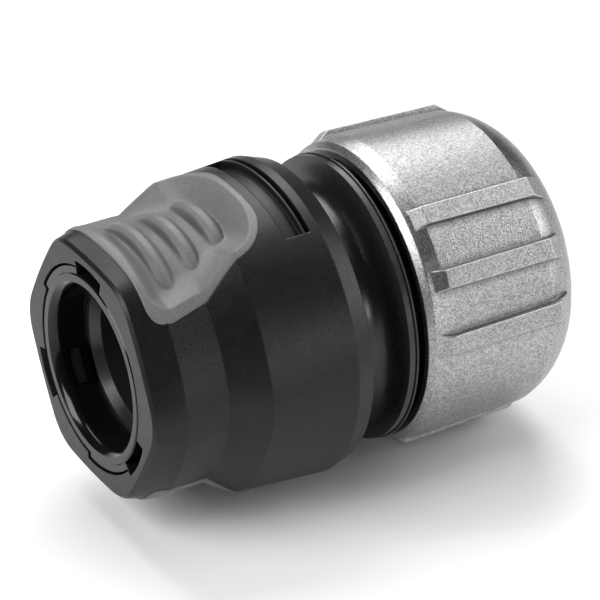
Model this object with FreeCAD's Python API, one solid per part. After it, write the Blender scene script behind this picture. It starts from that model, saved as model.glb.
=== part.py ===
import FreeCAD, Part
import math
import os

from FreeCAD import Vector

# Millimetres throughout. Stations are measured along the axis from the mouth plane, towards the hose.
# The angle round the axis is 0 at the top of the part and grows towards the near side, minus Y.

# Running clearances and seats
slide_gap = 0.30
cam_gap = 0.15
thread_gap = 0.20
seat_gap = 0.05
small_round = 0.30
arc_steps = 5

# Plug socket, as the standard tap plug needs it
mouth_radius = 10.0
guide_radius = 9.35
funnel_depth = 1.7
seal_radius = 8.05
seal_lip_radius = 8.7
seal_lip_station = 4.5
seal_lead_in = 1.1
seal_length = 12.4
water_radius = 5.2
water_cone_length = 2.5

# Mouth ring, clipped on the front of the socket tube
mouth_ring_radius = 10.95
mouth_ring_length = 7.0
key_radius = 11.7
key_length = 5.6
key_spread = 99.0
key_half_angle = 23.5
key_middle_angle = 60.0
tube_radius = 9.6
clip_height = 0.2
clip_station = 5.6
clip_length = 0.7

# Locking claws and the cam slots that hold them in
claw_count = 3
claw_front = 1.95
claw_length = 2.2
claw_width = 4.0
claw_tip_radius = 8.6
claw_ramp = 1.0
claw_head_width = 4.8
cam_slope = 0.30
cam_end_station = 4.6
slot_half_angle = 13.6

# Release collar, a rounded hexagon at the mouth that turns round towards the hose
collar_face_flat = 13.4
collar_face_corner = 14.4
collar_edge_length = 0.35
collar_edge_rise = 0.35
nose_station = 3.7
nose_flat = 15.2
nose_corner = 15.65
waist_station = 8.9
waist_flat = 14.95
waist_corner = 15.4
step_station = 13.1
step_flat = 17.0
step_corner = 17.65
barrel_station = 23.4
barrel_flat = 18.2
barrel_corner = 18.3
collar_length = 25.6
collar_end_radius = 17.55
corner_start_angle = 20.0
web_length = 1.8
spring_room_radius = 11.85
spring_room_end = 14.0
skirt_start = 18.5
skirt_radius = 15.2
label_front = 19.3
label_rear = 21.5
label_half_angle = 30.5
label_depth = 0.4
rim_groove_front = 21.75
rim_groove_rear = 22.35
rim_groove_depth = 1.2

# Soft grip pads let into the collar, top and bottom
pad_front = 2.0
pad_rear = 18.1
pad_front_half_width = 11.6
pad_rear_half_width = 8.4
pad_front_round = 2.2
pad_rear_round = 5.5
pad_rise = 0.15
pad_base = 0.8
pad_rim = 0.75
dish_front_radius = 14.3
dish_rear_radius = 15.4
dish_front_sweep = 2.2
dish_rear_sweep = 3.4
dish_front_side_sweep = 2.2
dish_rear_side_sweep = 5.5
dish_half_angle = 50.0
dish_rows = 24
dish_columns = 36
ridge_count = 3
ridge_first_station = 6.1
ridge_pitch = 3.8
ridge_half_length = 1.25
ridge_rise = 1.1
ridge_first_half_width = 8.2
ridge_width_step = 1.0

# Return spring between the collar's web and the neck
spring_wire = 1.0
spring_mean_radius = 10.75
spring_turns = 5.5
spring_steps = 20
spring_sides = 6

# Neck and stop flange
neck_station = 22.3
neck_radius = 12.6
neck_flare = 2.5
flange_station = 30.7
flange_face_radius = 15.65
flange_chamfer = 0.25
flange_radius = 16.45
flange_length = 1.3
flange_groove = 0.12
flange_groove_depth = 0.15
flange_bead_radius = 16.6
flange_bead_length = 0.22

# Screw thread between body and nut
thread_pitch = 3.0
thread_root_radius = 13.8
thread_crest_radius = 14.9
thread_crest_width = 0.8
thread_root_width = 1.7
thread_front = 33.6
thread_tube_end = 44.6
thread_end_land = 0.6
tube_wall_cone = 0.09
thread_tube_bore = 12.15

# Hose spigot
spigot_radius = 6.7
spigot_bore = 4.9
spigot_end = 51.0
barb_height = 0.5
barb_length = 3.2
barb_count = 4
hose_stop_station = 33.0
core_front = 25.0
core_inner_radius = 7.4
core_outer_radius = 11.2
stop_rib_count = 6
stop_rib_width = 1.6

# Clamp ring with its fingers, carried by the nut
finger_inner_radius = 10.7
finger_outer_radius = 11.95
finger_tip = 37.4
finger_tip_rise = 0.2
finger_tip_length = 2.4
finger_count = 8
finger_slot_width = 1.2
tooth_height = 0.4
tooth_pitch = 2.6
tooth_count = 3
clamp_ring_room = 1.7
clamp_ring_length = 4.0
clamp_ring_radius = 14.1
clamp_ring_bore = 11.2

# Hose nut
nut_front = 33.2
nut_opening_radius = 15.9
nut_face_radius = 16.7
nut_front_edge_radius = 17.35
nut_edge_length = 0.7
nut_body_front = 35.7
nut_body_radius = 17.7
nut_body_rear = 49.2
nut_rear_radius = 17.25
nut_end = 54.2
nut_end_radius = 13.3
nut_shoulder_bulge = 0.45
nut_land_front = 34.9
nut_land_overlap = 1.0
hose_hole_radius = 11.4
hose_flare = 1.0
grip_group_count = 3
grip_group_angle = 60.0
grip_rib_count = 3
grip_rib_pitch = 23.7
grip_rib_width = 2.5
grip_rib_tip_width = 2.1
grip_rib_front = 34.3
grip_rib_crest_front = 35.9
grip_rib_front_radius = 18.35
grip_rib_crest_rear = 49.8
grip_rib_rear_radius = 17.95
grip_rib_rear = 51.6
grip_rib_rear_drop = 1.5

# The part's origin lies on the axis where the sealing bore starts
seal_start = seal_lip_station + seal_lead_in
origin_station = seal_start

# Sizes that follow from the ones above
seal_end = seal_start + seal_length
web_front = mouth_ring_length + slide_gap
web_rear = web_front + web_length
web_bore = tube_radius + slide_gap
collar_bore = mouth_ring_radius + slide_gap
key_groove_radius = key_radius + slide_gap
dish_rear_station = step_station + ridge_pitch / 2
collar_stations = [
    (0, collar_face_flat, collar_face_corner),
    (collar_edge_length, collar_face_flat + collar_edge_rise, collar_face_corner + collar_edge_rise),
    (nose_station, nose_flat, nose_corner),
    (waist_station, waist_flat, waist_corner),
    (step_station, step_flat, step_corner),
    (barrel_station, barrel_flat, barrel_corner),
    (collar_length, collar_end_radius, collar_end_radius),
]
claw_rear = claw_front + claw_length
nut_root_radius = thread_crest_radius + thread_gap
nut_crest_radius = thread_root_radius + thread_gap
nut_pocket_radius = clamp_ring_radius + slide_gap
nut_land_rear = thread_tube_end + nut_land_overlap
clamp_ring_front = thread_tube_end + clamp_ring_room
clamp_ring_rear = clamp_ring_front + clamp_ring_length
flange_rear = flange_station + flange_length
flange_bead_station = flange_rear - flange_bead_length
groove_station = flange_bead_station - flange_groove
groove_floor = flange_radius - flange_groove_depth
far_radius = 40.0
axis = Vector(1, 0, 0)
centre = Vector(0, 0, 0)


def outward(angle):
    """Unit vector square to the axis, at an angle in degrees from the top towards the near side."""
    turn = math.radians(angle)
    return Vector(0, -math.sin(turn), math.cos(turn))


def chords(start, middle, end):
    """Points along the arc through three (station, radius) points, with its start left out."""
    arc = Part.Arc(Vector(*start, 0), Vector(*middle, 0), Vector(*end, 0)).toShape()
    return [(point.x, point.y) for point in arc.discretize(arc_steps + 1)[1:]]


def profile(points):
    """Closed face in the plane of X and Z through (station, radius) points."""
    corners = [Vector(station, 0, radius) for station, radius in points]
    return Part.Face(Part.makePolygon(corners + corners[:1]))


def turned(*points):
    """Solid turned round the axis from a closed outline of (station, radius) points."""
    return profile(points).revolve(centre, axis, 360)


def ring(front, rear, inner, outer):
    """Plain ring or disc between two stations."""
    return turned((front, inner), (rear, inner), (rear, outer), (front, outer))


def turned_about_axis(shape, angle):
    """Copy of a shape, turned round the part's axis."""
    copy = shape.copy()
    copy.rotate(centre, axis, angle)
    return copy


def sector(front, rear, inner, outer, middle, half_angle):
    """Part of a ring that spans half_angle to both sides of a middle angle."""
    outline = profile([(front, inner), (rear, inner), (rear, outer), (front, outer)])
    return turned_about_axis(outline.revolve(centre, axis, 2 * half_angle), middle - half_angle)


def block(front, rear, width, low, high):
    """Box centred on the plane of X and Z, from one height above the axis to another."""
    return Part.makeBox(rear - front, width, high - low, Vector(front, -width / 2, low))


def rounded_hexagon(station, flat, corner):
    """Closed wire of twelve arcs that meet smoothly: six flats and six corners."""
    start = math.radians(corner_start_angle)
    half_turn = math.radians(30)
    flat_x, corner_x, corner_y = flat, corner * math.cos(half_turn), corner * math.sin(half_turn)
    # A point where both arcs share a tangent sees flat and corner at 165 degrees, so it lies on a circle.
    chord = math.hypot(corner_x - flat_x, corner_y)
    radius = chord / (2 * math.sin(half_turn / 2))
    to_centre = math.sqrt(radius ** 2 - chord ** 2 / 4)
    middle_x = (flat_x + corner_x) / 2 - to_centre * corner_y / chord
    middle_y = corner_y / 2 + to_centre * (corner_x - flat_x) / chord
    along = math.cos(start) * middle_x + math.sin(start) * middle_y
    joint = along + math.sqrt(along ** 2 - middle_x ** 2 - middle_y ** 2 + radius ** 2)

    def point(distance, angle):
        return outward(angle) * distance + Vector(station, 0, 0)

    edges = []
    for side in range(6):
        turn = 60 * side
        left = point(joint, turn - corner_start_angle)
        right = point(joint, turn + corner_start_angle)
        following = point(joint, turn + 60 - corner_start_angle)
        edges.append(Part.Arc(left, point(flat, turn), right).toShape())
        edges.append(Part.Arc(right, point(corner, turn + 30), following).toShape())
    return Part.Wire(edges)


def collar_form(rise):
    """Solid with the collar's outer form, grown by rise on every side but its ends."""
    wires = [rounded_hexagon(x, flat + rise, corner + rise) for x, flat, corner in collar_stations]
    return Part.makeLoft(wires, True, True)


def pad_outline():
    """Solid column over the pad's outline seen from above."""
    corners = [
        (pad_front, -pad_front_half_width), (pad_rear, -pad_rear_half_width),
        (pad_rear, pad_rear_half_width), (pad_front, pad_front_half_width),
    ]
    face = Part.Face(Part.makePolygon([Vector(x, y, 0) for x, y in corners + corners[:1]]))
    column = face.extrude(Vector(0, 0, far_radius))

    def upright_at(station):
        return [
            edge for edge in column.Edges
            if abs(edge.Vertexes[0].X - edge.Vertexes[-1].X) < seat_gap
            and abs(edge.Vertexes[0].Y - edge.Vertexes[-1].Y) < seat_gap
            and abs(edge.Vertexes[0].X - station) < seat_gap
        ]

    column = column.makeFillet(pad_front_round, upright_at(pad_front))
    return column.makeFillet(pad_rear_round, upright_at(pad_rear))


def collar_radius(station, angle):
    """Outer radius of the collar at a station, blended from flat to corner round the axis."""
    index = next(index for index, entry in enumerate(collar_stations) if entry[0] > station)
    front, rear = collar_stations[index - 1], collar_stations[index]
    share = (station - front[0]) / (rear[0] - front[0])
    flat, corner = [low + share * (high - low) for low, high in zip(front[1:], rear[1:])]
    # Six flats and six corners: the blend runs from 0 to 1 over 30 degrees.
    return flat + (corner - flat) * math.sin(math.radians(3 * angle)) ** 2


def dish_floor(station):
    """Radius of the dish's floor, level at the front and rising smoothly towards the rear."""
    share = max(0, station - nose_station) / (dish_rear_station - nose_station)
    return dish_front_radius + (dish_rear_radius - dish_front_radius) * share ** 2


def pad_pocket():
    """Room that a pad takes up in the collar, on the top side."""
    stations = [nose_station, waist_station, dish_rear_station]
    curve = Part.BSplineCurve()
    curve.interpolate([Vector(station, 0, dish_floor(station) - pad_base) for station in stations])
    first, last = curve.StartPoint, curve.EndPoint
    corners = [last, Vector(collar_length, 0, last.z), Vector(collar_length, 0, 0), centre,
               Vector(0, 0, first.z), first]
    under = Part.Face(Part.Wire([curve.toShape()] + Part.makePolygon(corners).Edges))
    # The seam of the turned surface goes to the far side of the axis, clear of the pocket.
    return pad_outline().cut(turned_about_axis(under.revolve(centre, axis, 360), 180))


def pad_dish():
    """Finger dish of a pad: the room over a smooth surface that sweeps up to the rim on all sides."""
    front, rear = pad_front + pad_rim, pad_rear - pad_rim
    narrowing = (pad_front_half_width - pad_rear_half_width) / (pad_rear - pad_front)
    sweep_growth = (dish_rear_side_sweep - dish_front_side_sweep) / (rear - front)
    rows = []
    for row in range(dish_rows + 1):
        station = front - pad_rim / 2 + (rear - front + pad_rim) * row / dish_rows
        half_width = pad_front_half_width - pad_rim - narrowing * (station - pad_front)
        side_sweep = dish_front_side_sweep + sweep_growth * (station - front)
        lift = max(0, 1 - (station - front) / dish_front_sweep) ** 2
        lift += max(0, 1 - (rear - station) / dish_rear_sweep) ** 2
        points = []
        for column in range(dish_columns + 1):
            angle = dish_half_angle * (2 * column / dish_columns - 1)
            top = collar_radius(station, angle) + pad_rise
            inside = half_width - abs(outward(angle).y) * top
            share = lift + max(0, 1 - inside / side_sweep) ** 2
            floor = dish_floor(station)
            points.append(outward(angle) * (floor + share * (top - floor)) + Vector(station, 0, 0))
        rows.append(points)
    surface = Part.BSplineSurface()
    surface.interpolate(rows)
    return surface.toShape().extrude(Vector(0, 0, far_radius))


def pad_ridge(index):
    """Rounded ridge across the dish, turned about an axis of its own so that its ends sink in."""
    station = ridge_first_station + index * ridge_pitch
    half_width = ridge_first_half_width - index * ridge_width_step
    front, rear = station - ridge_half_length, station + ridge_half_length
    floor = dish_floor(station)
    top = floor + ridge_rise
    drop = top - math.sqrt(floor ** 2 - half_width ** 2)
    crest = (half_width ** 2 + drop ** 2) / (2 * drop)
    level = crest - ridge_rise
    foot = level - pad_base / 2
    hump = turned((front, foot), (rear, foot), (rear, level),
                  *chords((rear, level), (station, crest), (front, level)))
    hump = turned_about_axis(hump, 180)
    hump.translate(Vector(0, 0, top - crest))
    return hump.common(pad_pocket())


def build_pad():
    """Soft inlay with a raised rim, a finger dish and ridges across it."""
    pad = pad_pocket().common(collar_form(pad_rise))
    pad = pad.cut(pad_dish())
    for index in range(ridge_count):
        pad = pad.fuse(pad_ridge(index))
    return pad.removeSplitter()


def build_collar():
    """Sliding collar with its web, spring room, cam slots, key grooves, pad pockets and label recess."""
    collar = collar_form(0)
    rear = collar_length
    collar = collar.cut(turned(
        (0, 0), (rear, 0), (rear, skirt_radius), (skirt_start, skirt_radius),
        (spring_room_end, spring_room_radius), (web_rear, spring_room_radius),
        (web_rear, web_bore), (web_front, web_bore), (web_front, collar_bore), (0, collar_bore),
    ))
    cam = profile([
        (0, tube_radius), (cam_end_station, tube_radius), (cam_end_station, collar_bore),
        (0, collar_bore + cam_slope * cam_end_station),
    ]).revolve(centre, axis, 2 * slot_half_angle)
    for index in range(claw_count):
        collar = collar.cut(turned_about_axis(cam, 360 * index / claw_count - slot_half_angle))
    for side in (-1, 1):
        middle = key_middle_angle + side * key_spread
        groove = sector(0, web_front, tube_radius, key_groove_radius, middle,
                        key_half_angle + math.degrees(slide_gap / key_radius))
        collar = collar.cut(groove)
    label_floor = barrel_flat - label_depth - (barrel_flat - step_flat) / 2
    for turn in (0, 180):
        recess = sector(label_front, label_rear, label_floor, far_radius, turn, label_half_angle)
        groove = sector(rim_groove_front, rim_groove_rear, label_floor - rim_groove_depth + label_depth,
                        far_radius, turn, label_half_angle)
        collar = collar.cut(recess).cut(groove).cut(turned_about_axis(pad_pocket(), turn))
    return collar


def build_mouth_ring():
    """Front ring with its funnel, claw windows, key arcs and the groove that clips on the tube."""
    lip = small_round
    throat = (funnel_depth, guide_radius)
    ring_form = turned(
        (0, mouth_radius), *chords((0, mouth_radius), (funnel_depth / 4, guide_radius + lip / 2), throat),
        (seal_lip_station - seat_gap, guide_radius), (seal_lip_station - seat_gap, tube_radius + seat_gap),
        (clip_station, tube_radius + seat_gap), (clip_station, tube_radius + seat_gap + clip_height),
        (clip_station + clip_length, tube_radius + seat_gap + clip_height),
        (clip_station + clip_length, tube_radius + seat_gap),
        (mouth_ring_length, tube_radius + seat_gap), (mouth_ring_length, mouth_ring_radius - lip),
        (mouth_ring_length - lip, mouth_ring_radius), (lip / 2, mouth_ring_radius),
        (0, mouth_ring_radius - lip / 2),
    )
    for side in (-1, 1):
        middle = key_middle_angle + side * key_spread
        key = sector(lip / 2, key_length, mouth_ring_radius - lip, key_radius, middle, key_half_angle)
        ring_form = ring_form.fuse(key)
    window = block(claw_front - cam_gap, claw_rear + cam_gap, claw_width + 2 * cam_gap,
                   seal_radius, far_radius)
    for index in range(claw_count):
        ring_form = ring_form.cut(turned_about_axis(window, 360 * index / claw_count))
    return ring_form.removeSplitter()


def build_claw():
    """Claw at the top position: a ramped tip, a neck in the window and a wider head under the cam."""
    cam_front = collar_bore + cam_slope * (cam_end_station - claw_front) - cam_gap
    cam_rear = collar_bore + cam_slope * (cam_end_station - claw_rear) - cam_gap
    head_foot = mouth_ring_radius + cam_gap
    side = [
        (claw_front, claw_tip_radius + claw_ramp),
        (claw_front + claw_ramp, claw_tip_radius),
        (claw_rear - small_round, claw_tip_radius),
        (claw_rear, claw_tip_radius + small_round),
        (claw_rear, cam_rear + claw_width),
        (claw_front, cam_front + claw_width),
    ]
    wire = Part.makePolygon([Vector(x, -claw_head_width / 2, r) for x, r in side + side[:1]])
    claw = Part.Face(wire).extrude(Vector(0, claw_head_width, 0))
    under_cam = turned((claw_front, 0), (claw_rear, 0), (claw_rear, cam_rear), (claw_front, cam_front))
    claw = claw.common(under_cam)
    for direction in (-1, 1):
        beside = block(claw_front, claw_rear, claw_width, 0, head_foot)
        beside.translate(Vector(0, direction * claw_width, 0))
        claw = claw.cut(beside)
    return claw


def build_spring():
    """Wire wound in short straight lengths between the web of the collar and the shoulder of the neck."""
    margin = spring_wire / 2 + seat_gap
    front = web_rear + margin
    rise = (neck_station - margin - front) / (spring_turns * spring_steps)
    points = []
    for step in range(int(spring_turns * spring_steps) + 1):
        around = outward(360 * step / spring_steps) * spring_mean_radius
        points.append(around + Vector(front + step * rise, 0, 0))
    # The section stands square to the first straight length, whose middle is half a step round.
    along = points[1] - points[0]
    radial = outward(180 / spring_steps) * (spring_wire / 2)
    sides = []
    for side in range(spring_sides + 1):
        sides.append(points[0] + FreeCAD.Rotation(along, 360 * side / spring_sides).multVec(radial))
    return Part.makePolygon(points).makePipeShell([Part.makePolygon(sides)], True, False, 1)


def thread_ridge(front, length, root, crest, root_width, crest_width):
    """Helical ridge of trapezoid section round the axis. It starts at the bottom of the part."""
    helix = Part.makeHelix(thread_pitch, length, root)
    corners = [
        (root, -root_width / 2), (crest, -crest_width / 2),
        (crest, crest_width / 2), (root, root_width / 2),
    ]
    section = Part.makePolygon([Vector(r, 0, z) for r, z in corners + corners[:1]])
    ridge = Part.Wire(helix).makePipeShell([section], True, True)
    ridge.rotate(centre, Vector(0, 1, 0), 90)
    ridge.translate(Vector(front, 0, 0))
    return ridge


def thread_space_at(radius):
    """Free width between two turns of the body's ridge at a radius, less the clearance on both sides."""
    narrowing = (thread_root_width - thread_crest_width) / (thread_crest_radius - thread_root_radius)
    ridge_width = thread_root_width - narrowing * (radius - thread_root_radius)
    return thread_pitch - ridge_width - 2 * thread_gap


def tube_bore_at(station):
    """Radius of the hose space inside the thread tube, which opens towards the hose."""
    return thread_tube_bore + tube_wall_cone * (station - hose_stop_station)


def build_body():
    """Socket tube, neck, flange, thread tube and hose spigot, moulded in one piece."""
    flare_start = flange_station - neck_flare
    sunk = math.sqrt(0.5) * neck_flare
    flare_middle = (flare_start + sunk, neck_radius + neck_flare - sunk)
    flare_end = (flange_station, neck_radius + neck_flare)
    relief = thread_root_radius
    body = turned(
        (seal_lip_station, seal_lip_radius), (seal_lip_station, tube_radius),
        (clip_station + seat_gap, tube_radius), (clip_station + seat_gap, tube_radius + clip_height),
        (clip_station + clip_length / 2, tube_radius + clip_height),
        (clip_station + clip_length - seat_gap, tube_radius),
        (neck_station, tube_radius), (neck_station, neck_radius), (flare_start, neck_radius),
        *chords((flare_start, neck_radius), flare_middle, flare_end),
        (flange_station, flange_face_radius), (flange_station + flange_chamfer, flange_radius),
        (groove_station, flange_radius), (groove_station, groove_floor),
        (flange_bead_station, groove_floor), (flange_bead_station, flange_bead_radius),
        (flange_rear, flange_bead_radius), (flange_rear, relief),
        (thread_tube_end, relief), (thread_tube_end, tube_bore_at(thread_tube_end)),
        (hose_stop_station, tube_bore_at(hose_stop_station)), (hose_stop_station, spigot_radius),
        (spigot_end - small_round, spigot_radius), (spigot_end, spigot_radius - small_round),
        (spigot_end, spigot_bore), (hose_stop_station, spigot_bore), (hose_stop_station, water_radius),
        (seal_end + water_cone_length, water_radius), (seal_end, seal_radius), (seal_start, seal_radius),
    )
    core = ring(core_front, hose_stop_station + small_round, core_inner_radius, core_outer_radius)
    core_far = core_outer_radius + small_round
    rib = block(core_front, hose_stop_station, stop_rib_width, spigot_radius, core_far)
    for index in range(stop_rib_count):
        core = core.cut(turned_about_axis(rib, 360 * index / stop_rib_count))
    body = body.cut(core)
    barb_root = spigot_radius - small_round
    for index in range(barb_count):
        rear = spigot_end - small_round - index * barb_length
        front = rear - barb_length + small_round
        barb = turned((front, barb_root), (rear, barb_root), (rear, spigot_radius),
                      (front, spigot_radius + barb_height))
        body = body.fuse(barb)
    # The ridge starts a little under the surface, where its flanks, drawn on, are that much wider.
    length = thread_tube_end - thread_end_land - thread_front - thread_root_width
    sunk_root = thread_root_radius - small_round
    sunk_width = thread_pitch - thread_space_at(sunk_root) - 2 * thread_gap
    ridge = thread_ridge(thread_front + thread_root_width / 2, length, sunk_root,
                         thread_crest_radius, sunk_width, thread_crest_width)
    return body.fuse(ridge)


def grip_rib():
    """Rib of the nut at the top position, with sloping ends and drafted sides."""
    foot = nut_root_radius + slide_gap
    side = [
        (grip_rib_front, foot), (grip_rib_front, nut_front_edge_radius),
        (grip_rib_crest_front, grip_rib_front_radius), (grip_rib_crest_rear, grip_rib_rear_radius),
        (grip_rib_rear, grip_rib_rear_radius - grip_rib_rear_drop), (grip_rib_rear, foot),
    ]
    wire = Part.makePolygon([Vector(x, -grip_rib_width, r) for x, r in side + side[:1]])
    rib = Part.Face(wire).extrude(Vector(0, 2 * grip_rib_width, 0))
    top = grip_rib_front_radius
    half, half_tip = grip_rib_width / 2, grip_rib_tip_width / 2
    outline = [
        (-half, 0), (-half, nut_rear_radius), (-half_tip, top),
        (half_tip, top), (half, nut_rear_radius), (half, 0),
    ]
    section = Part.makePolygon([Vector(grip_rib_front, y, z) for y, z in outline + outline[:1]])
    return rib.common(Part.Face(section).extrude(Vector(grip_rib_rear - grip_rib_front, 0, 0)))


def build_nut():
    """Hose nut: turned form, inner thread, pocket for the clamp ring, hose hole and groups of grip ribs."""
    end = nut_end
    arc_middle = (nut_body_rear + end) / 2 + nut_shoulder_bulge
    arc_radius = (nut_rear_radius + nut_end_radius) / 2 + nut_shoulder_bulge
    nut = turned(
        (nut_front, nut_opening_radius), (nut_front, nut_face_radius),
        (nut_front + nut_edge_length, nut_front_edge_radius), (nut_body_front, nut_body_radius),
        (nut_body_rear, nut_rear_radius),
        *chords((nut_body_rear, nut_rear_radius), (arc_middle, arc_radius), (end, nut_end_radius)),
        (end, hose_hole_radius + hose_flare),
        (end - hose_flare, hose_hole_radius), (clamp_ring_rear + slide_gap, hose_hole_radius),
        (clamp_ring_rear + slide_gap, nut_pocket_radius), (nut_land_rear + slide_gap, nut_pocket_radius),
        (nut_land_rear + slide_gap, nut_root_radius), (nut_land_front, nut_root_radius),
    )
    rib = grip_rib()
    for group in range(grip_group_count):
        for index in range(grip_rib_count):
            turn = grip_group_angle + 360 * group / grip_group_count
            turn += (index - (grip_rib_count - 1) / 2) * grip_rib_pitch
            nut = nut.fuse(turned_about_axis(rib, turn))
    # The ridge fills the space between two turns of the body's ridge, less the thread clearance.
    sunk_root = nut_root_radius + small_round
    first = thread_front + (thread_root_width + thread_pitch) / 2
    length = nut_land_rear - first - thread_space_at(sunk_root) / 2
    return nut.fuse(thread_ridge(first, length, sunk_root, nut_crest_radius,
                                 thread_space_at(sunk_root), thread_space_at(nut_crest_radius)))


def build_clamp_ring():
    """Ring with toothed fingers that reach into the thread tube and grip the hose."""
    bore = clamp_ring_bore
    clamp = turned(
        (finger_tip, finger_inner_radius), (finger_tip, finger_outer_radius),
        (finger_tip + small_round, finger_outer_radius + finger_tip_rise),
        (finger_tip + finger_tip_length, finger_outer_radius + finger_tip_rise),
        (finger_tip + finger_tip_length + small_round, finger_outer_radius),
        (clamp_ring_front, finger_outer_radius), (clamp_ring_front, clamp_ring_radius),
        (clamp_ring_rear, clamp_ring_radius), (clamp_ring_rear, bore),
        (clamp_ring_front, bore), (clamp_ring_front - small_round, finger_inner_radius),
    )
    for index in range(tooth_count):
        rear = finger_tip + small_round + tooth_pitch * (index + 1)
        sunk = finger_inner_radius + tooth_height
        point = finger_inner_radius - tooth_height
        tooth = turned((rear, sunk), (rear - tooth_pitch / 2, sunk), (rear, point))
        clamp = clamp.fuse(tooth)
    slot = block(finger_tip - small_round, clamp_ring_front, finger_slot_width, 0, clamp_ring_radius)
    for index in range(finger_count):
        clamp = clamp.cut(turned_about_axis(slot, 360 * (index + 0.5) / finger_count))
    return clamp


def export(shape, node):
    """Write one node, moved so that the origin lies at the start of the sealing bore."""
    placed = shape.copy()
    placed.translate(Vector(-origin_station, 0, 0))
    solids = placed.Solids
    if len(solids) == 1:
        placed = solids[0]
    placed.exportStep(os.path.join("parts", node + ".step"))
    print(node, len(solids), placed.isValid(), round(placed.Volume, 1))


def main():
    os.makedirs("parts", exist_ok=True)
    export(build_body(), "connector_body")
    export(build_mouth_ring(), "mouth_ring")
    claw = build_claw()
    for index in range(claw_count):
        export(turned_about_axis(claw, 360 * index / claw_count), "locking_claw_" + str(index + 1))
    export(build_collar(), "release_collar")
    pad = build_pad()
    export(pad, "grip_pad_upper")
    export(turned_about_axis(pad, 180), "grip_pad_lower")
    export(build_spring(), "return_spring")
    export(build_clamp_ring(), "clamp_ring")
    export(build_nut(), "hose_nut")


main()
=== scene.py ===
"""Garden hose quick connector: finishes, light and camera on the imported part.

Lengths are in metres in the part's own frame: X runs from the mouth to the hose, Z up through the
upper grip pad, and the origin lies where the sealing bore starts.
"""

import logging
import math
from dataclasses import dataclass, field
from enum import Enum

import bmesh
import bpy
from mathutils import Matrix, Vector


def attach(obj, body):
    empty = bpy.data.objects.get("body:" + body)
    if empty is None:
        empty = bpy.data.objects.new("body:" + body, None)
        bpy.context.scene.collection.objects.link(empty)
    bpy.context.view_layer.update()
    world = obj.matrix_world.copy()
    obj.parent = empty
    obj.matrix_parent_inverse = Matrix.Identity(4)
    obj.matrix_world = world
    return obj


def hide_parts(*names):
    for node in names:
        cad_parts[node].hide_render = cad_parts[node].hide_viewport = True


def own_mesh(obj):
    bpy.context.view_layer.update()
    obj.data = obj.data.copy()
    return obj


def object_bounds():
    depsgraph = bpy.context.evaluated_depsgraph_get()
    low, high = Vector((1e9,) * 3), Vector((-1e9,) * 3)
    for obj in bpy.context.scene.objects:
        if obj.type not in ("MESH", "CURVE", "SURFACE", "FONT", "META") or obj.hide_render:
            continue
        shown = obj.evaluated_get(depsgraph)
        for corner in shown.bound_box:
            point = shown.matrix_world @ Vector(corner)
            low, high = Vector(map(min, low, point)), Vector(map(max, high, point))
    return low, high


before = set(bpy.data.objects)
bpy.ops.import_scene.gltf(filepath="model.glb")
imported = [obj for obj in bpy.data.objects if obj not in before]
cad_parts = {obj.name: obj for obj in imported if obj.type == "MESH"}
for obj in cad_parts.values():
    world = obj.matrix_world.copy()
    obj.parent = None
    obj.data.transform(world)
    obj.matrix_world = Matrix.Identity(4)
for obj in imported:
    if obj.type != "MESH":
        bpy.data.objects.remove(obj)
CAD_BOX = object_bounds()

LOG = logging.getLogger("connector")

# A millimetre, and the distance under which two corners of a mesh are one.
MM = 0.001
WELD = 2e-6

# Angle in degrees over which an edge of the floor stays sharp.
FLOOR_CREASE = 30.0

# Fine grain: how many finer layers it holds, and how strong they are.
GRAIN_DETAIL = 3.0
GRAIN_ROUGHNESS = 0.6

# Slow changes: finer layers, the part of their range that is used, and gloss patches per mottle.
CLOUD_DETAIL = 2.0
CLOUD_SPREAD = (0.3, 0.7)
GLOSS_STEPS = 3

# Painted highlight on edges and painted shade in corners: rays that look for them, gain and falloff
# of these marks, brightest highlight.
LOOK_SAMPLES = 6
EDGE_GAIN = 4.0
CORNER_POWER = 2.0
BRIGHTEST = 0.9

# A colour as three linear values, and what an input for a number or a colour takes.
Shade = tuple[float, float, float]
Number = bpy.types.NodeSocket | float
Colour = bpy.types.NodeSocket | Shade


class Body(Enum):
    """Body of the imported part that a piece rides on."""

    SOCKET = "socket"
    COLLAR = "collar"
    CLAW_1 = "claw_1"
    CLAW_2 = "claw_2"
    CLAW_3 = "claw_3"
    CLAMP = "clamp"
    NUT = "nut"


# Shader groups


def new_group(
    name: str, inputs: dict[str, float], outputs: tuple[str, ...]
) -> bpy.types.ShaderNodeTree:
    """Start a shader node group with a Vector input, number inputs and number outputs.

    Args:
        name: Name of the group.
        inputs: Names of the number inputs, with their defaults.
        outputs: Names of the number outputs.

    Returns:
        The group, with its input and output nodes in place.
    """
    group = bpy.data.node_groups.new(name, "ShaderNodeTree")
    group.interface.new_socket("Vector", in_out="INPUT", socket_type="NodeSocketVector")
    for label, value in inputs.items():
        socket = group.interface.new_socket(label, in_out="INPUT", socket_type="NodeSocketFloat")
        socket.default_value = value
    for label in outputs:
        group.interface.new_socket(label, in_out="OUTPUT", socket_type="NodeSocketFloat")
    group.nodes.new("NodeGroupInput")
    group.nodes.new("NodeGroupOutput")
    return group


def ends(group: bpy.types.ShaderNodeTree) -> tuple[bpy.types.Node, bpy.types.Node]:
    """Return a group's input node and its output node."""
    return group.nodes["Group Input"], group.nodes["Group Output"]


def math_node(
    tree: bpy.types.NodeTree, operation: str, first: Number, second: Number
) -> bpy.types.NodeSocket:
    """Add a node for a sum, product or the like of two values.

    Args:
        tree: Tree that gets the node.
        operation: Name of the operation.
        first: Socket or number for the first value.
        second: Socket or number for the second value.

    Returns:
        The node's output socket.
    """
    node = tree.nodes.new("ShaderNodeMath")
    node.operation = operation
    for socket, value in zip(node.inputs, (first, second)):
        if isinstance(value, bpy.types.NodeSocket):
            tree.links.new(value, socket)
        else:
            socket.default_value = value
    return node.outputs["Value"]


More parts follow.
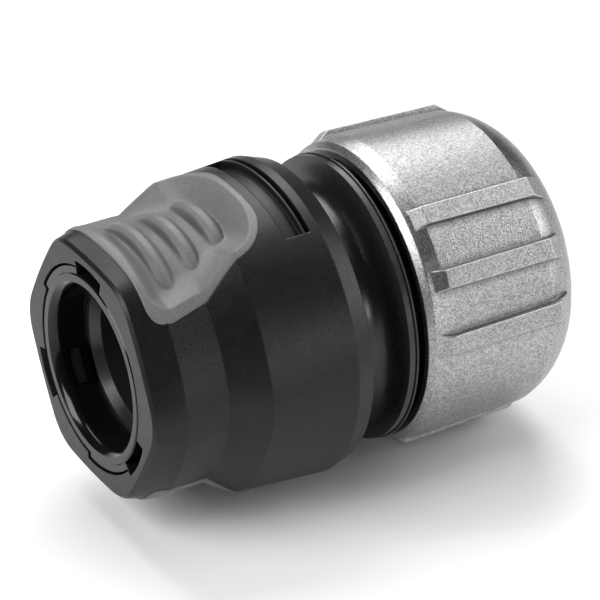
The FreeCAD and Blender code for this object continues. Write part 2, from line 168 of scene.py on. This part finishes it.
def speckle_group() -> bpy.types.ShaderNodeTree:
    """Build the group for a fine grain: soft bumps, sharper pits and a random value per grain."""
    group = bpy.data.node_groups.get("Speckle")
    if group:
        return group
    group = new_group("Speckle", {"Size": 0.3 * MM, "Pits": 0.5}, ("Height", "Fleck"))
    start, end = ends(group)
    links = group.links
    scale = math_node(group, "DIVIDE", 1.0, start.outputs["Size"])
    noise = group.nodes.new("ShaderNodeTexNoise")
    noise.inputs["Detail"].default_value = GRAIN_DETAIL
    noise.inputs["Roughness"].default_value = GRAIN_ROUGHNESS
    cells = group.nodes.new("ShaderNodeTexVoronoi")
    cells.feature = "F1"
    for texture in (noise, cells):
        links.new(start.outputs["Vector"], texture.inputs["Vector"])
        links.new(scale, texture.inputs["Scale"])
    pits = math_node(group, "MULTIPLY", cells.outputs["Distance"], start.outputs["Pits"])
    height = math_node(group, "ADD", noise.outputs["Fac"], pits)
    links.new(height, end.inputs["Height"])
    grains = group.nodes.new("ShaderNodeSeparateColor")
    links.new(cells.outputs["Color"], grains.inputs["Color"])
    links.new(grains.outputs["Red"], end.inputs["Fleck"])
    return group


def edge_group() -> bpy.types.ShaderNodeTree:
    """Build the group that finds edges, where a rounded normal leans away from the face's own."""
    group = bpy.data.node_groups.get("Edge")
    if group:
        return group
    group = new_group("Edge", {"Gain": EDGE_GAIN}, ("Mask",))
    start, end = ends(group)
    face = group.nodes.new("ShaderNodeNewGeometry")
    agree = group.nodes.new("ShaderNodeVectorMath")
    agree.operation = "DOT_PRODUCT"
    group.links.new(start.outputs["Vector"], agree.inputs[0])
    group.links.new(face.outputs["Normal"], agree.inputs[1])
    lean = math_node(group, "SUBTRACT", 1.0, agree.outputs["Value"])
    mask = math_node(group, "MULTIPLY", lean, start.outputs["Gain"])
    limited = math_node(group, "MINIMUM", mask, 1.0)
    group.links.new(limited, end.inputs["Mask"])
    return group


def cloud_group() -> bpy.types.ShaderNodeTree:
    """Build the group for slow changes over a surface, from Low to High."""
    group = bpy.data.node_groups.get("Cloud")
    if group:
        return group
    group = new_group("Cloud", {"Size": 4.0 * MM, "Low": 0.0, "High": 1.0}, ("Value",))
    start, end = ends(group)
    links = group.links
    noise = group.nodes.new("ShaderNodeTexNoise")
    noise.inputs["Detail"].default_value = CLOUD_DETAIL
    links.new(start.outputs["Vector"], noise.inputs["Vector"])
    links.new(math_node(group, "DIVIDE", 1.0, start.outputs["Size"]), noise.inputs["Scale"])
    spread = group.nodes.new("ShaderNodeMapRange")
    lowest, highest = CLOUD_SPREAD
    spread.inputs["From Min"].default_value = lowest
    spread.inputs["From Max"].default_value = highest
    links.new(noise.outputs["Fac"], spread.inputs["Value"])
    links.new(start.outputs["Low"], spread.inputs["To Min"])
    links.new(start.outputs["High"], spread.inputs["To Max"])
    links.new(spread.outputs["Result"], end.inputs["Value"])
    return group


def blend(
    tree: bpy.types.NodeTree, mode: str, factor: Number, first: Colour, second: Colour
) -> bpy.types.NodeSocket:
    """Add a node that mixes two colours.

    Args:
        tree: Tree that gets the node.
        mode: Name of the blend mode.
        factor: Socket or number for the factor.
        first: Socket or colour for the first input.
        second: Socket or colour for the second input.

    Returns:
        The node's colour output.
    """
    node = tree.nodes.new("ShaderNodeMix")
    node.data_type = "RGBA"
    node.blend_type = mode
    for label, value in (("Factor_Float", factor), ("A_Color", first), ("B_Color", second)):
        socket = next(entry for entry in node.inputs if entry.identifier == label)
        if isinstance(value, bpy.types.NodeSocket):
            tree.links.new(value, socket)
        elif isinstance(value, tuple):
            socket.default_value = (*value, 1.0)
        else:
            socket.default_value = value
    return next(entry for entry in node.outputs if entry.identifier == "Result_Color")


def place_group(
    tree: bpy.types.NodeTree,
    group: bpy.types.ShaderNodeTree,
    vector: bpy.types.NodeSocket,
    **values: float,
) -> bpy.types.Node:
    """Place a shader group in a material.

    Args:
        tree: The material's node tree.
        group: Group to place.
        vector: Socket with the coordinates.
        **values: Values for the group's inputs.

    Returns:
        The group node.
    """
    node = tree.nodes.new("ShaderNodeGroup")
    node.node_tree = group
    tree.links.new(vector, node.inputs["Vector"])
    for label, value in values.items():
        node.inputs[label].default_value = value
    return node


# Finishes


@dataclass(frozen=True)
class Finish:
    """Surface with a base colour that varies a little, a grain in its height and softened edges,
    and where set a painted highlight on edges and painted shade in corners.

    Attributes:
        name: Name of the material.
        shade: Base colour, as three linear values.
        roughness: Lowest and highest roughness over the surface.
        metallic: 1 for metal, 0 for the rest.
        specular: Specular level of the shader.
        mottle: Share by which the colour darkens in places.
        mottle_size: Size of those places.
        grain_size: Size of the grain.
        grain_pits: How much the grain is made of sharp pits.
        grain_height: Height of the grain.
        fleck: Share by which single grains are lighter or darker.
        edge: Radius that rounds the look of sharp edges.
        edge_highlight: How far edges are lightened in the colour, as a painted highlight.
        corner_shade: How far corners and creases are darkened in the colour, as painted shade.
        reach: Width of the painted shade in a corner or crease.
    """

    name: str
    shade: Shade
    roughness: tuple[float, float]
    metallic: float = 0.0
    specular: float = 0.5
    mottle: float = 0.1
    mottle_size: float = 4.0 * MM
    grain_size: float = 0.25 * MM
    grain_pits: float = 0.3
    grain_height: float = 0.01 * MM
    fleck: float = 0.0
    edge: float = 0.15 * MM
    edge_highlight: float = 0.0
    corner_shade: float = 0.0
    reach: float = 1.0 * MM

    def material(self) -> bpy.types.Material:
        """Return the finish as a material, which is built once."""
        made = bpy.data.materials.get(self.name)
        if made:
            return made
        made = bpy.data.materials.new(self.name)
        made.use_nodes = True
        tree = made.node_tree
        links = tree.links
        shader = tree.nodes["Principled BSDF"]
        shader.inputs["Metallic"].default_value = self.metallic
        shader.inputs["Specular IOR Level"].default_value = self.specular
        place = tree.nodes.new("ShaderNodeTexCoord").outputs["Object"]

        rounded = tree.nodes.new("ShaderNodeBevel")
        rounded.samples = LOOK_SAMPLES
        rounded.inputs["Radius"].default_value = self.edge
        grain = place_group(
            tree, speckle_group(), place, Size=self.grain_size, Pits=self.grain_pits
        )
        bump = tree.nodes.new("ShaderNodeBump")
        bump.inputs["Distance"].default_value = self.grain_height
        links.new(grain.outputs["Height"], bump.inputs["Height"])
        links.new(rounded.outputs["Normal"], bump.inputs["Normal"])
        links.new(bump.outputs["Normal"], shader.inputs["Normal"])

        low, high = self.roughness
        gloss_size = self.mottle_size / GLOSS_STEPS
        gloss = place_group(tree, cloud_group(), place, Size=gloss_size, Low=low, High=high)
        links.new(gloss.outputs["Value"], shader.inputs["Roughness"])

        cloud = place_group(tree, cloud_group(), place, Size=self.mottle_size, Low=0.0, High=1.0)
        dark = tuple(value * (1 - self.mottle) for value in self.shade)
        colour = blend(tree, "MIX", cloud.outputs["Value"], self.shade, dark)
        if self.fleck:
            spread = tree.nodes.new("ShaderNodeMapRange")
            spread.inputs["To Min"].default_value = 1 - self.fleck
            spread.inputs["To Max"].default_value = 1 + self.fleck
            links.new(grain.outputs["Fleck"], spread.inputs["Value"])
            colour = blend(tree, "MULTIPLY", 1.0, colour, spread.outputs["Result"])
        if self.edge_highlight or self.corner_shade:
            # Ambient occlusion finds corners and creases for the painted shade and keeps the
            # painted highlight off them.
            corner = tree.nodes.new("ShaderNodeAmbientOcclusion")
            corner.samples = LOOK_SAMPLES
            corner.inputs["Distance"].default_value = self.reach
            open_share = math_node(tree, "POWER", corner.outputs["AO"], CORNER_POWER)
            # Painted highlight: open edges that the rounded normal finds are lightened in the
            # colour.
            edges = place_group(tree, edge_group(), rounded.outputs["Normal"])
            highlight_mask = math_node(tree, "MULTIPLY", edges.outputs["Mask"], open_share)
            highlight_colour = tuple(min(BRIGHTEST, value * (1 + self.edge_highlight)) for value in self.shade)
            colour = blend(tree, "MIX", highlight_mask, colour, highlight_colour)
            # Painted shade: corners and creases are darkened in the colour.
            colour = blend(tree, "MULTIPLY", self.corner_shade, colour, open_share)
        links.new(colour, shader.inputs["Base Color"])
        return made


TEXTURED_PLASTIC = Finish(
    "textured_black_plastic", (0.0075, 0.0075, 0.0078), (0.32, 0.38), specular=0.28,
    grain_size=0.14 * MM, grain_pits=0.6, grain_height=0.02 * MM, fleck=0.3,
    # painted highlight on the edges
    edge=0.2 * MM, edge_highlight=0.5,
)
SMOOTH_PLASTIC = Finish(
    "smooth_black_plastic", (0.016, 0.016, 0.0165), (0.26, 0.34),
    grain_size=0.5 * MM, grain_pits=0.0, grain_height=0.002 * MM,
    edge=0.12 * MM,
)
POLISHED_PLASTIC = Finish(
    "polished_black_plastic", (0.005, 0.005, 0.0052), (0.12, 0.18), specular=0.3,
    grain_size=0.5 * MM, grain_pits=0.0, grain_height=0.001 * MM,
    edge=0.06 * MM,
)
CLAW_PLASTIC = Finish(
    "claw_black_plastic", (0.002, 0.002, 0.002), (0.5, 0.6), specular=0.04, grain_height=0.002 * MM,
)
CLAMP_PLASTIC = Finish(
    "clamp_grey_plastic", (0.12, 0.12, 0.125), (0.35, 0.45), grain_height=0.004 * MM,
)
SOFT_RUBBER = Finish(
    "soft_grey_rubber", (0.142, 0.144, 0.144), (0.4, 0.46), specular=0.3,
    grain_size=0.15 * MM, grain_height=0.012 * MM, fleck=0.12,
    # painted highlight on edges and painted shade in corners and creases
    edge=0.2 * MM, edge_highlight=0.3, corner_shade=0.9, reach=3.0 * MM,
)
BLASTED_METAL = Finish(
    "blasted_aluminium", (0.36, 0.36, 0.355), (0.28, 0.34), metallic=1.0,
    mottle=0.06, mottle_size=1.5 * MM,
    grain_size=0.14 * MM, grain_pits=1.0, grain_height=0.02 * MM, fleck=0.4,
    # painted highlight on edges and painted shade in corners and creases
    edge=0.25 * MM, edge_highlight=1.2, corner_shade=1.0, reach=1.0 * MM,
)
SPRING_WIRE = Finish(
    "drawn_steel_wire", (0.5, 0.5, 0.52), (0.22, 0.3), metallic=1.0,
    grain_height=0.002 * MM, edge=0.3 * MM,
)


# Pieces


def finish_mesh(mesh: bmesh.types.BMesh, name: str, crease: float) -> bpy.types.Object:
    """Turn a bmesh into an object with smooth faces and sharp creases.

    Args:
        mesh: Source, which is freed.
        name: Name of the object.
        crease: Angle in degrees over which an edge stays sharp.

    Returns:
        The object, at the origin.
    """
    limit = math.radians(crease)
    for face in mesh.faces:
        face.smooth = True
    for edge in mesh.edges:
        edge.smooth = len(edge.link_faces) == 2 and edge.calc_face_angle(0.0) < limit
    data = bpy.data.meshes.new(name)
    mesh.to_mesh(data)
    mesh.free()
    made = bpy.data.objects.new(name, data)
    bpy.context.scene.collection.objects.link(made)
    return made


@dataclass
class Piece:
    """A moulding or casting that follows its CAD node, with its faces merged and its edges graded.

    Attributes:
        node: CAD node whose form it takes.
        slot: Material slot of the record; not used.
        body: Body it rides on.
        finish: Its finish.
        crease: Angle in degrees over which an edge stays sharp.
    """

    node: str
    slot: str
    body: Body
    finish: Finish
    crease: float = 15.0

    def build(self) -> bpy.types.Object:
        """Build the piece in place of its CAD node, and return it."""
        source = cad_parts[self.node]
        mesh = bmesh.new()
        mesh.from_mesh(source.data)
        bmesh.ops.remove_doubles(mesh, verts=mesh.verts, dist=WELD)
        bmesh.ops.dissolve_degenerate(mesh, edges=mesh.edges, dist=WELD)
        bmesh.ops.recalc_face_normals(mesh, faces=mesh.faces)
        made = finish_mesh(mesh, self.node + "_form", self.crease)
        made.data.materials.append(self.finish.material())
        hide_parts(self.node)
        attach(made, self.body.value)
        LOG.info("%s: %d faces on %s", made.name, len(made.data.polygons), self.body.value)
        return made


@dataclass
class SoftPiece(Piece):
    """Soft moulding: its CAD form, resampled in even steps and relaxed so that edges roll over.

    Attributes:
        grain: Step of the resampling.
        relaxing: Number of smoothing steps.
        relaxing_share: How far each step goes.
    """

    grain: float = 0.12 * MM
    relaxing: int = 1
    relaxing_share: float = 0.5

    def build(self) -> bpy.types.Object:
        """Build the piece in place of its CAD node, and return it."""
        made = super().build()
        resample = made.modifiers.new("resample", "REMESH")
        resample.mode = "VOXEL"
        resample.voxel_size = self.grain
        resample.use_smooth_shade = True
        relax = made.modifiers.new("relax", "SMOOTH")
        relax.factor = self.relaxing_share
        relax.iterations = self.relaxing
        return made


@dataclass
class Socket:
    """Fixed half: body with its neck and flange, mouth ring and return spring.

    Attributes:
        spring_rear: Place on the axis of the spring's fixed end; not used.
        spring_kept: Share of the spring's 13.2 mm that is left when the collar is pulled back; not
            used.
        crease: Angle over which an edge of the body and the mouth ring stays sharp.
        wire_crease: The same for the spring.
    """

    spring_rear: float = 16.65 * MM
    spring_kept: float = 9.0 / 13.2
    crease: float = 20.0
    wire_crease: float = 70.0

    def build(self) -> None:
        """Build the pieces of the socket."""
        Piece("connector_body", "body_plastic", Body.SOCKET, SMOOTH_PLASTIC, self.crease).build()
        Piece("mouth_ring", "mouth_plastic", Body.SOCKET, POLISHED_PLASTIC, self.crease).build()
        wire = Piece("return_spring", "spring_steel", Body.SOCKET, SPRING_WIRE, self.wire_crease)
        spring = wire.build()
        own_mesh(spring)


@dataclass
class Claws:
    """Three claws that lock behind the plug's collar.

    Attributes:
        bodies: Bodies of the claws, in the order of their nodes.
    """

    bodies: tuple[Body, ...] = (Body.CLAW_1, Body.CLAW_2, Body.CLAW_3)

    def build(self) -> None:
        """Build the claws."""
        for number, body in enumerate(self.bodies, start=1):
            Piece(f"locking_claw_{number}", "claw_plastic", body, CLAW_PLASTIC).build()


@dataclass
class Collar:
    """Release collar with its two soft grip pads.

    Attributes:
        pads: Nodes of the pads.
        crease: Angle over which an edge of the collar stays sharp.
        pad_crease: The same for the pads.
    """

    pads: tuple[str, ...] = ("grip_pad_upper", "grip_pad_lower")
    crease: float = 14.0
    pad_crease: float = 26.0

    def build(self) -> None:
        """Build the collar and the pads."""
        collar = Piece(
            "release_collar", "collar_plastic", Body.COLLAR, TEXTURED_PLASTIC, self.crease
        )
        collar.build()
        for node in self.pads:
            SoftPiece(node, "pad_rubber", Body.COLLAR, SOFT_RUBBER, self.pad_crease).build()


@dataclass
class HoseClamp:
    """Clamp ring and the nut that carries it.

    Attributes:
        nut_crease: Angle over which an edge of the nut stays sharp.
    """

    nut_crease: float = 9.0

    def build(self) -> None:
        """Build the clamp ring and the nut."""
        Piece("clamp_ring", "clamp_plastic", Body.CLAMP, CLAMP_PLASTIC).build()
        Piece("hose_nut", "nut_metal", Body.NUT, BLASTED_METAL, self.nut_crease).build()


# Studio


@dataclass
class Lamp:
    """Square soft box that looks at the part.

    Attributes:
        name: Name of the light.
        azimuth: Direction from the part, 0 from the near side and growing towards the hose end.
        elevation: Height above the horizon, in degrees.
        size: Side of the box.
        power: Power in watts.
        distance: Distance from the part.
    """

    name: str
    azimuth: float
    elevation: float
    size: float
    power: float
    distance: float = 0.5

    def build(self, target: Vector) -> None:
        """Place the lamp so that it faces the target."""
        light = bpy.data.lights.new(self.name, "AREA")
        light.shape = "SQUARE"
        light.size = self.size
        light.energy = self.power
        lamp = bpy.data.objects.new(self.name, light)
        bpy.context.scene.collection.objects.link(lamp)
        lamp.location = target + direction(self.azimuth, self.elevation) * self.distance
        lamp.rotation_euler = (target - lamp.location).to_track_quat("-Z", "Y").to_euler()


def direction(azimuth: float, elevation: float) -> Vector:
    """Return the unit vector from the part to a place round it, with both angles in degrees."""
    turn, rise = math.radians(azimuth), math.radians(elevation)
    level = math.cos(rise)
    return Vector((math.sin(turn) * level, -math.cos(turn) * level, math.sin(rise)))


@dataclass
class Studio:
    """White floor, soft boxes and the camera at the photograph's angle.

    Attributes:
        target: Point that the camera and the lamps look at.
        camera_azimuth, camera_elevation: Direction of the camera from the part, in degrees.
        camera_distance: Distance from the target.
        camera_roll: Turn about the view, in degrees.
        lens: Focal length in millimetres.
        clip: Nearest and farthest distance that the camera sees.
        floor_size: Side of the floor.
        floor_shade: Grey of the floor.
        shadow_reach: Distances from the target where the floor turns from shaded to plain white.
        world_strength: Light that comes from all round.
        lamps: The soft boxes.
    """

    target: Vector = field(default_factory=lambda: Vector((21.29, 0.54, 0.59)) * MM)
    camera_azimuth: float = -30.58
    camera_elevation: float = 31.09
    camera_distance: float = 448.4 * MM
    camera_roll: float = 0.58
    lens: float = 240.0
    clip: tuple[float, float] = (44.84 * MM, 12.0)
    floor_size: float = 6.0
    floor_shade: float = 0.9
    shadow_reach: tuple[float, float] = (55 * MM, 95 * MM)
    world_strength: float = 0.02
    lamps: tuple[Lamp, ...] = (
        Lamp("back_box", 165.0, 52.0, size=0.4, power=2.65),
        Lamp("left_box", -90.0, 35.0, size=0.3, power=2.4),
        Lamp("right_box", 70.0, 30.0, size=0.3, power=0.95),
        Lamp("right_high_box", 85.0, 62.0, size=0.3, power=0.35),
        Lamp("right_low_box", 60.0, 12.0, size=0.2, power=0.43),
        Lamp("near_right_box", 13.0, 13.0, size=0.14, power=0.4),
        Lamp("near_spot", 27.0, 4.0, size=0.025, power=0.03),
    )

    def build(self, floor_height: float) -> None:
        """Build floor, world, lamps and camera.

        Args:
            floor_height: Height of the floor, where the part rests.
        """
        self.build_floor(floor_height)
        self.build_world()
        for lamp in self.lamps:
            lamp.build(self.target)
        self.build_camera()

    def build_floor(self, height: float) -> None:
        """Lay the floor at a height."""
        mesh = bmesh.new()
        bmesh.ops.create_grid(mesh, x_segments=1, y_segments=1, size=self.floor_size / 2)
        bmesh.ops.translate(mesh, verts=mesh.verts, vec=Vector((0, 0, height)))
        floor = finish_mesh(mesh, "floor", FLOOR_CREASE)
        floor.data.materials.append(self.floor_material())

    def floor_material(self) -> bpy.types.Material:
        """Return the white floor, which takes the part's shadow only near the part."""
        made = bpy.data.materials.new("white_floor")
        made.use_nodes = True
        tree = made.node_tree
        links = tree.links
        tree.nodes.clear()
        place = tree.nodes.new("ShaderNodeTexCoord").outputs["Object"]
        away = tree.nodes.new("ShaderNodeVectorMath")
        away.operation = "DISTANCE"
        away.inputs[1].default_value = self.target
        links.new(place, away.inputs[0])
        reach = tree.nodes.new("ShaderNodeMapRange")
        reach.interpolation_type = "SMOOTHSTEP"
        nearest, farthest = self.shadow_reach
        reach.inputs["From Min"].default_value = nearest
        reach.inputs["From Max"].default_value = farthest
        links.new(away.outputs["Value"], reach.inputs["Value"])
        rays = tree.nodes.new("ShaderNodeLightPath")
        direct, mirrored = rays.outputs["Is Camera Ray"], rays.outputs["Is Glossy Ray"]
        seen = math_node(tree, "MAXIMUM", direct, mirrored)
        share = math_node(tree, "MULTIPLY", seen, reach.outputs["Result"])
        matt = tree.nodes.new("ShaderNodeBsdfDiffuse")
        matt.inputs["Color"].default_value = (self.floor_shade,) * 3 + (1.0,)
        glow = tree.nodes.new("ShaderNodeEmission")
        mix = tree.nodes.new("ShaderNodeMixShader")
        links.new(share, mix.inputs["Fac"])
        links.new(matt.outputs["BSDF"], mix.inputs[1])
        links.new(glow.outputs["Emission"], mix.inputs[2])
        out = tree.nodes.new("ShaderNodeOutputMaterial")
        links.new(mix.outputs["Shader"], out.inputs["Surface"])
        return made

    def build_world(self) -> None:
        """Make the world white to the camera and dimmer as a light."""
        world = bpy.data.worlds.new("studio")
        bpy.context.scene.world = world
        world.use_nodes = True
        tree = world.node_tree
        background = tree.nodes["Background"]
        background.inputs["Color"].default_value = (1.0, 1.0, 1.0, 1.0)
        rays = tree.nodes.new("ShaderNodeLightPath")
        strength = tree.nodes.new("ShaderNodeMapRange")
        strength.inputs["To Min"].default_value = self.world_strength
        strength.inputs["To Max"].default_value = 1.0
        tree.links.new(rays.outputs["Is Camera Ray"], strength.inputs["Value"])
        tree.links.new(strength.outputs["Result"], background.inputs["Strength"])

    def build_camera(self) -> None:
        """Place the camera at the photograph's angle and distance."""
        data = bpy.data.cameras.new("camera")
        data.lens = self.lens
        data.clip_start, data.clip_end = self.clip
        camera = bpy.data.objects.new("camera", data)
        bpy.context.scene.collection.objects.link(camera)
        back = direction(self.camera_azimuth, self.camera_elevation)
        place = Matrix.Translation(self.target + back * self.camera_distance)
        level = (-back).to_track_quat("-Z", "Y").to_matrix().to_4x4()
        roll = Matrix.Rotation(math.radians(self.camera_roll), 4, "Z")
        camera.matrix_world = place @ level @ roll
        bpy.context.scene.camera = camera


def main() -> None:
    """Build the connector's pieces and the studio."""
    logging.basicConfig(level=logging.INFO, format="%(name)s: %(message)s")
    for assembly in (Socket(), Claws(), Collar(), HoseClamp()):
        assembly.build()
    Studio().build(floor_height=CAD_BOX[0].z)
    bpy.context.scene.view_settings.view_transform = "Standard"


if __name__ == "__main__":
    main()
